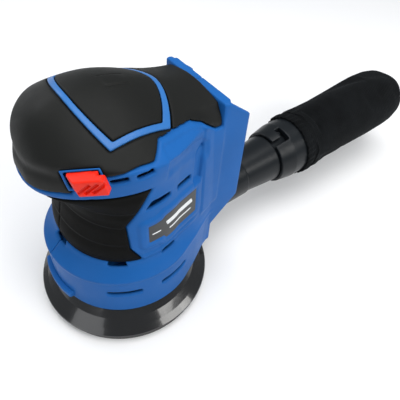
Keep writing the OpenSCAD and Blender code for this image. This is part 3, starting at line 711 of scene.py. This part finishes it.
def make_grips():
    """The two rubber sleeves round the waist."""
    grid = Grid((-2 * STEP, -60, 70), (52, 4, 135), STEP * 0.9)
    outer = form(grid)
    line = side_shape(grid, GRIP_LINE)
    sleeve = np.maximum(outer - ridges(grid) * ramp((-1.0 - line) / 2), -(outer + GRIP_T))
    sleeve = np.maximum(sleeve, line + GAP)
    left = np.maximum(sleeve, -switch_space(grid, 0.1))
    # The sleeves take the darker copy of soft_grip, which is painted shade.
    place(skin_object("grip_left_sleeve", left, grid, half=True), "housing", "soft_grip_shaded",
          "grip_left")
    place(skin_object("grip_right_sleeve", sleeve, grid, mirrored=True, half=True), "housing",
          "soft_grip_shaded", "grip_right")


def palm_line(grow):
    """Plan of the palm panel, grown by an amount."""
    side, front = 33.4 + grow, 21.3 + grow
    ahead = [(x * side, -front + 6.3 * x * x) for x in np.linspace(-1, 1, 17)]
    behind = [(x * (side - 2.4), 29.3 + grow - 12.6 * abs(x) ** 1.7) for x in np.linspace(1, -1, 33)]
    return ahead + behind


def make_cover():
    """The black cover, with a faint fold round the nose."""
    grid = Grid((-52, -58, 127), (52, 60, 178), STEP)
    outer = form(grid)
    scoop = 1.1 * np.exp(-((grid.z - 141.5 - np.abs(grid.angle()) * 0.12) / 3.0) ** 2)
    scoop = scoop * ramp((50 - np.abs(grid.angle())) / 30)
    cover = np.maximum(outer + scoop, -(outer + WALL))
    cover = np.maximum(cover, side_shape(grid, COVER_LINE) + GAP)
    cover = np.maximum(cover, -plan_shape(grid, palm_line(TRIM_W / 2 + GAP)))
    cover = np.maximum(cover, -switch_space(grid, 0.1))
    place(skin_object("top_cover_shell", cover, grid), "housing", "soft_grip", "top_cover")


def make_palm():
    """The trim frame and the palm panel, whose shelf and lining back the seams."""
    grid = Grid((-41, -29, 145), (41, 37, 172), FINE_STEP)
    outer = form(grid)
    edge = TRIM_W / 2 - 0.2
    frame_shape = np.maximum(plan_shape(grid, palm_line(edge)), -plan_shape(grid, palm_line(-edge)))
    trim = np.maximum(np.maximum(outer, -(outer + TRIM_T)), frame_shape)
    place(skin_object("trim_frame_strip", trim, grid), "housing", "trim_blue", "trim_frame")
    # A small tongue in the middle, between two creases.
    tongue = 5 - np.abs(grid.x)
    crease = np.exp(-(tongue / 0.45) ** 2)
    crease = crease * ramp(grid.y + 1.5) * ramp(13 - grid.y)
    raised = 0.35 * ramp(tongue / 0.6) * ramp((grid.y + 2) / 2) * ramp((14 - grid.y) / 6)
    panel_outer = outer - 0.15 - raised + 0.7 * crease
    panel = np.maximum(panel_outer, plan_shape(grid, palm_line(-TRIM_W / 2 - GAP)))
    shelf = np.maximum(outer + 1.5, plan_shape(grid, palm_line(TRIM_W / 2 + GAP / 2)))
    lining = np.maximum(outer + WALL + 0.1, plan_shape(grid, palm_line(TRIM_W / 2 + 3)))
    lining = np.maximum(lining, -8 - grid.y)
    panel = np.maximum(np.minimum(panel, shelf), -(outer + WALL + 0.4))
    panel = np.minimum(panel, np.maximum(lining, -(outer + WALL + 1.1)))
    place(skin_object("palm_panel_pad", panel, grid), "housing", "soft_grip", "palm_panel")


def make_nameplates():
    """Stepped plates on both flanks, with plain pale bars as generic marks."""
    grid = Grid((30, -8, 82), (48, 37, 109), FINE_STEP)
    outer = form(grid)
    line = side_shape(grid, PLATE_LINE)
    plate = np.maximum(np.maximum(outer - 0.75, -(outer + 0.8)), line + 0.35)
    bars = np.full(plate.shape, 9.0)
    slant = grid.y + 0.35 * (grid.z - 95)
    for y, z, length, height in ((8, 98.2, 23, 4.2), (8, 91.6, 20, 1.7), (-3.2, 95, 6.5, 1.4)):
        bar = np.abs(slant - y - length / 2) - length / 2
        bar = np.maximum(bar, np.abs(grid.z - z) - height / 2)
        bars = np.minimum(bars, bar)
    marks = np.maximum(np.maximum(outer - 0.95, -(outer + 0.3)), bars)
    for side, mirrored in (("left", False), ("right", True)):
        place(skin_object(f"nameplate_{side}_panel", plate, grid, mirrored=mirrored), "housing",
              "plate_dark", f"nameplate_{side}")
        place(skin_object(f"nameplate_{side}_marks", marks, grid, mirrored=mirrored), "housing",
              "plate_marks")


def make_bumper():
    """Curved bar on the front of the skirt."""
    grid = Grid((-21, -58, 28), (21, -44, 39), FINE_STEP)
    r = np.hypot(grid.x, grid.y)
    bar = both(both(r - SKIRT_R - 3.4, SKIRT_R - 0.6 - r, 0.8), np.abs(grid.z - 33.3) - 2.7, 1.2)
    bar = both(bar, np.abs(grid.x) - 18.5, 1.2)
    place(skin_object("front_bumper_bar", bar, grid), "housing", "housing_blue", "front_bumper")


# ---- Switch -----------------------------------------------------------------------------------

def make_bezel():
    """Thin frame round the switch's opening, with drafted sides."""
    grid = Grid((20, -44, 136), (48, -16, 158), 0.3)
    x, y, z = switch_frame(grid)
    outer = form(grid)
    sides = np.maximum(np.abs(y + 0.3) - 10, np.abs(z - 0.2) - 6.2)
    opening = np.maximum(np.abs(y + 0.2) - 8.6, np.abs(z - 0.25) - 4.95)
    bezel = np.maximum(np.maximum(sides, -opening), np.maximum(outer - 0.5, -(outer + 5)))
    bezel = np.maximum(bezel, 40 - x)
    place(skin_object("switch_bezel_frame", bezel, grid), "housing", "housing_blue", "switch_bezel")


def button_grooves(grid):
    """Distance to three slanting grooves in the button's face."""
    lean = math.radians(56)
    grooves = 9.0
    for i in range(3):
        y, z = grid.y - 1.2 - i * 3.8, grid.z - 0.2
        across = y * math.cos(lean) - z * math.sin(lean)
        length = y * math.sin(lean) + z * math.cos(lean)
        groove = np.maximum(np.abs(across) - 0.75, np.abs(length) - 5)
        groove = np.maximum(np.maximum(groove, 52.7 - grid.x), np.abs(grid.z - 0.3) - 3.7)
        grooves = np.minimum(grooves, groove)
    return grooves


def make_button():
    """The slide switch's wedge, on a root that leans with the opening."""
    grid = Grid((38, -14, -11), (56, 14, 9), 0.26)
    profile = [(46.9, -7), (48.5, -7), (54.2, -2.1), (54.2, 12.1), (49.8, 12.3), (49.8, 8.6),
               (48.1, 8.1), (47.9, 4.7), (46.9, 4.7)]
    cap = line_distance(grid.x[:, :, 0], grid.y[:, :, 0], profile)[:, :, None]
    cap = both(cap, np.abs(grid.z - 0.35) - 4.75, 0.9)
    tilt = math.radians(38)
    cut = (grid.y - 12.6) * math.cos(tilt) - (grid.z + 6.4) * math.sin(tilt)
    cap = both(both(cap, cut, 0.8), -button_grooves(grid), 0.3)
    depth = np.maximum(SWITCH_FACE - grid.x, 0)
    height = np.abs(grid.z + LEAN_Z * depth - 0.3) - 4.4
    root = np.maximum(np.abs(grid.y + LEAN_Y * depth + 1.2) - 5.8, height)
    cap = either(cap, np.maximum(root, np.maximum(42 - grid.x, grid.x - 47.5)), 0.3)
    # A foot over the bezel's rear side, clear of it as the button slides.
    foot = np.maximum(np.abs(grid.y - 6) - 2.1, 47.9 - 0.38 * np.maximum(grid.z - 1, 0) - grid.x)
    cap = either(cap, np.maximum(np.maximum(foot, height), grid.x - 49), 0.3)
    place(skin_object("switch_button_cap", cap, grid, SWITCH), "switch", "switch_red",
          "switch_button")


# ---- Turned pieces ----------------------------------------------------------------------------

def turned(name, profile, matrix=None, segments=128, wave=None):
    """A closed turned ring from an outline of (radius, height), with rounded corners."""
    points = rounded_profile(profile)
    n = len(points)
    angles = np.linspace(0, 2 * math.pi, segments, endpoint=False)
    rows = []
    for a in angles:
        for i, (r, z) in enumerate(points):
            grow = wave(a, z, r) if wave else 0
            rows.append(((r + grow) * math.cos(a), (r + grow) * math.sin(a), z))
    faces = [(s * n + i, (s + 1) % segments * n + i,
              (s + 1) % segments * n + (i + 1) % n, s * n + (i + 1) % n)
             for s in range(segments) for i in range(n)]
    return make_mesh(name, rows, faces, matrix)


def rounded_profile(profile, radius=0.5, steps=3):
    """Rounds each corner of a closed outline with a short arc."""
    made = []
    n = len(profile)
    for i, corner in enumerate(profile):
        p = np.array(corner[:2], float)
        a, b = np.array(profile[i - 1][:2], float), np.array(profile[(i + 1) % n][:2], float)
        reach = corner[2] if len(corner) > 2 else radius
        reach = min(reach, 0.45 * np.linalg.norm(a - p), 0.45 * np.linalg.norm(b - p))
        start = p + (a - p) / np.linalg.norm(a - p) * reach
        end = p + (b - p) / np.linalg.norm(b - p) * reach
        for k in range(steps + 1):
            t = k / steps
            made.append(tuple((1 - t) ** 2 * start + 2 * t * (1 - t) * p + t * t * end))
    return made


# ---- Dust tube, collar and bag -----------------------------------------------------------------

# Along the outlet's axis: the bayonet's track, the bag's mouth, the end of the steel ring.
TRACK_Z, TRACK_HALF, MOUTH_Z, RING_END = 88, 2.4, 110.6, 123
RING_R = 24.4
CLOTH_T = 0.8

def make_tube():
    """Dust tube with a stepped end and the pin of its bayonet."""
    profile = [
        (16.05, 0), (18.2, 0, 0.8), (18.2, 43, 0.8), (17.2, 43.6, 0.3), (20.4, 75.2, 1.5), (19.4, 76),
        (19.4, 96), (17.2, 96), (17.2, 76), (14.6, 44), (14.6, 13.6), (16.05, 13.6),
    ]
    tube = turned("dust_tube_body", profile, TUBE)
    place(tube, "dust_tube", "tube_black", "dust_tube")
    upright = Matrix.Translation((0, -18.3, TRACK_Z)) @ Matrix.Rotation(math.radians(90), 4, "X")
    pin = turned("dust_tube_pin", [(0.3, 0), (1.9, 0), (1.9, 3.3, 0.6), (0.3, 3.3)],
                 TUBE @ upright, 24)
    place(pin, "dust_tube", "tube_black")


def make_collar():
    """Bag collar with its bayonet track, cut as a field for crisp walls."""
    grid = Grid((-27, -27, 74), (27, 27, 115), FINE_STEP * 1.1)
    outline = [(19.6, 76.4), (22.6, 76.4), (25, 90.3), (25, 112.2), (19.6, 112.2)]
    radii, heights = np.broadcast_arrays(np.hypot(grid.x, grid.y), grid.z)
    field = line_distance(radii, heights, outline)
    angle = np.degrees(np.arctan2(grid.y, grid.x))
    track = np.radians(np.abs(angle + 80.5) - 16.5) * 24
    track = np.maximum(np.abs(grid.z - TRACK_Z) - TRACK_HALF, track)
    turn = math.radians(-70)
    across = -grid.x * math.sin(turn) + grid.y * math.cos(turn)
    out = grid.x * math.cos(turn) + grid.y * math.sin(turn)
    entry = np.maximum(np.abs(across) - TRACK_HALF, grid.z - TRACK_Z - TRACK_HALF)
    field = np.maximum(field, -np.minimum(track, np.maximum(entry, -out)))
    place(skin_object("bag_collar_ring", field, grid, TUBE), "bag", "tube_black", "bag_collar")


def bag_radius(t):
    """Radius of the bag along its length, t from the collar at 0 to the end at 1."""
    stations = [0, 0.04, 0.12, 0.3, 0.5, 0.68, 0.8, 0.88, 0.94, 0.98, 1.0]
    radii = [25.4, 26.4, 24.8, 24.6, 25.4, 26.2, 25.6, 23.6, 19.0, 11.0, 3.0]
    return float(np.interp(t, stations, radii))


def bag_cloth():
    """The fabric tube before it is filled: a little long and wide, so that it creases."""
    length = box_mm("dust_bag")[1][1] - TUBE_Y - MOUTH_Z - 3.0
    around, along = 56, 74
    rng = np.random.default_rng(11)
    phases = rng.uniform(0, 2 * math.pi, 12)
    rows = []
    for j in range(along + 1):
        t = j / along
        for i in range(around):
            a = 2 * math.pi * i / around
            crease = sum(0.5 / (k + 1) * math.sin((k + 2) * a + phases[k]
                                                  + 9 * t * math.cos(phases[k + 6]))
                         for k in range(6))
            gather = 0.9 * math.cos(17 * a + 2 * math.sin(3 * a)) * math.exp(-t * 16)
            r = bag_radius(t) + (crease * 1.1 * min(1, t * 8) + gather) * min(1, (1 - t) * 8)
            rows.append((r * math.cos(a), r * math.sin(a), MOUTH_Z + length * t))
    faces = [(j * around + i, j * around + (i + 1) % around,
              (j + 1) * around + (i + 1) % around, (j + 1) * around + i)
             for j in range(along) for i in range(around)]
    centre = len(rows)
    rows.append((0, 0, MOUTH_Z + length))
    faces += [(along * around + i, along * around + (i + 1) % around, centre)
              for i in range(around)]
    return make_mesh("dust_bag_cloth", rows, faces, TUBE), around


def clear_ring(bag):
    """Drapes the cloth over the steel ring that holds its mouth open."""
    inverse, forward = np.array(TUBE.inverted()), np.array(TUBE)
    points = np.array([v.co for v in bag.data.vertices]) / MM
    points = points @ inverse[:3, :3].T + inverse[:3, 3]
    r = np.maximum(np.hypot(points[:, 0], points[:, 1]), 1e-6)
    room = RING_R + 1.4 * ramp((RING_END - points[:, 2]) / 2)
    near = (points[:, 2] < RING_END) & (r > 15)
    points[:, :2] *= np.where(near, np.maximum(r, room) / r, 1)[:, None]
    points = points @ forward[:3, :3].T + forward[:3, 3]
    bag.data.vertices.foreach_set("co", (points * MM).ravel())


def simulate_bag(bag, around):
    """Fills the cloth with air from its gathered mouth to its end."""
    group = bag.vertex_groups.new(name="mouth")
    group.add(list(range(around * 3)), 1.0, "REPLACE")
    rest = np.array([v.co for v in bag.data.vertices])
    cloth = bag.modifiers.new("cloth", "CLOTH")
    settings = cloth.settings
    settings.vertex_group_mass = "mouth"
    settings.quality = 6
    settings.mass = 0.15
    settings.tension_stiffness = 12
    settings.compression_stiffness = 3
    settings.shear_stiffness = 3
    settings.bending_stiffness = 0.02
    settings.shrink_min = -0.10
    settings.use_pressure = True
    settings.uniform_pressure_force = 1.6
    settings.effector_weights.gravity = 0.0
    cloth.collision_settings.use_collision = False
    scene = bpy.context.scene
    for step in range(1, 21):
        scene.frame_set(step)
    apply_modifiers(bag)
    scene.frame_set(1)
    moved = np.array([v.co for v in bag.data.vertices])
    shift = moved - rest
    far = np.linalg.norm(shift, axis=1, keepdims=True)
    limit = 3.2 * MM
    moved = rest + shift * np.minimum(1, limit / np.maximum(far, 1e-9))
    bag.data.vertices.foreach_set("co", moved.ravel())
    smooth = bag.modifiers.new("finer", "SUBSURF")
    smooth.levels = smooth.render_levels = 1
    apply_modifiers(bag)


def make_bag():
    """The dust bag: one thin cloth, filled and draped over its ring."""
    bag, around = bag_cloth()
    simulate_bag(bag, around)
    clear_ring(bag)
    thick = bag.modifiers.new("thickness", "SOLIDIFY")
    thick.thickness = CLOTH_T * MM
    thick.offset = -1
    apply_modifiers(bag)
    bag.data.polygons.foreach_set("use_smooth", np.ones(len(bag.data.polygons), bool))
    place(bag, "bag", "bag_fabric", "dust_bag")


def make_cuff():
    """Elastic cuff that gathers the bag's mouth on the collar."""
    def pleats(a, z, r):
        return (0.55 * math.cos(34 * a) + 0.3 * math.cos(13 * a + 1)) * (1 if r > 26 else 0.1)

    profile = [(25.15, 103), (26.9, 102.6, 1.2), (27.2, 106, 1), (26.8, 110.6, 1.2), (25.15, 110.2)]
    place(turned("bag_cuff_band", profile, TUBE, 272, pleats), "bag", "bag_fabric", "bag_cuff")


# ---- Floor, light and camera ---------------------------------------------------------------------

def make_stage():
    """A plain pale floor, a soft sky and five area lamps."""
    floor_material = Shader("floor_paint", Roughness=0.6, Specular_IOR_Level=0.2)
    tone = floor_material.blend(floor_material.noise(3), (0.86, 0.86, 0.87), (0.9, 0.9, 0.9))
    floor_material.finish(tone)
    bpy.ops.mesh.primitive_plane_add(size=8, location=(0, 0, cad_box[0].z))
    floor = bpy.context.object
    floor.name = "floor"
    floor.data.materials.append(floor_material.material)
    world = bpy.data.worlds.new("studio")
    world.use_nodes = True
    sky = world.node_tree.nodes["Background"].inputs
    sky["Color"].default_value = (0.9, 0.95, 1.0, 1)
    sky["Strength"].default_value = 0.32
    bpy.context.scene.world = world
    lamps = [
        ("overhead", (0.1, 0.1, 1.3), 1.1, 15, (1, 1, 1)),
        ("key", (0.95, 0.35, 0.8), 0.5, 4.8, (1, 0.99, 0.97)),
        ("glint", (0.9, 0.75, 0.75), 0.3, 2.2, (1, 0.99, 0.97)),
        ("front", (0.3, -1.3, 0.7), 0.8, 3, (0.97, 0.98, 1)),
        ("side", (-1.2, -0.3, 0.8), 0.7, 4, (0.97, 0.98, 1)),
    ]
    for name, spot, size, power, colour in lamps:
        data = bpy.data.lights.new(name, "AREA")
        data.size, data.energy, data.color = size, power, colour
        lamp = bpy.data.objects.new(name, data)
        lamp.location = spot
        aim = Vector((0.02, 0.03, 0.08)) - Vector(spot)
        lamp.rotation_euler = aim.to_track_quat("-Z", "Y").to_euler()
        bpy.context.scene.collection.objects.link(lamp)


def make_camera():
    """Camera over the left of the nose, looking down and back."""
    data = bpy.data.cameras.new("camera")
    data.lens, data.sensor_width = 36.11, 36
    data.clip_start, data.clip_end = 0.01, 20
    camera = bpy.data.objects.new("camera", data)
    heading, pitch, roll = (Matrix.Rotation(math.radians(a), 4, axis)
                            for a, axis in ((49.29, "Z"), (41.53, "X"), (5.2, "Z")))
    spot = Matrix.Translation((0.1645, -0.0718, 0.2807))
    camera.matrix_world = spot @ heading @ pitch @ roll
    bpy.context.scene.collection.objects.link(camera)
    bpy.context.scene.camera = camera
    bpy.context.scene.view_settings.view_transform = "Standard"


make_camera()
make_stage()
dress_cad_nodes()
make_housing()
make_grips()
make_cover()
make_palm()
make_nameplates()
make_bumper()
make_bezel()
make_button()
make_tube()
make_collar()
make_cuff()
make_bag()
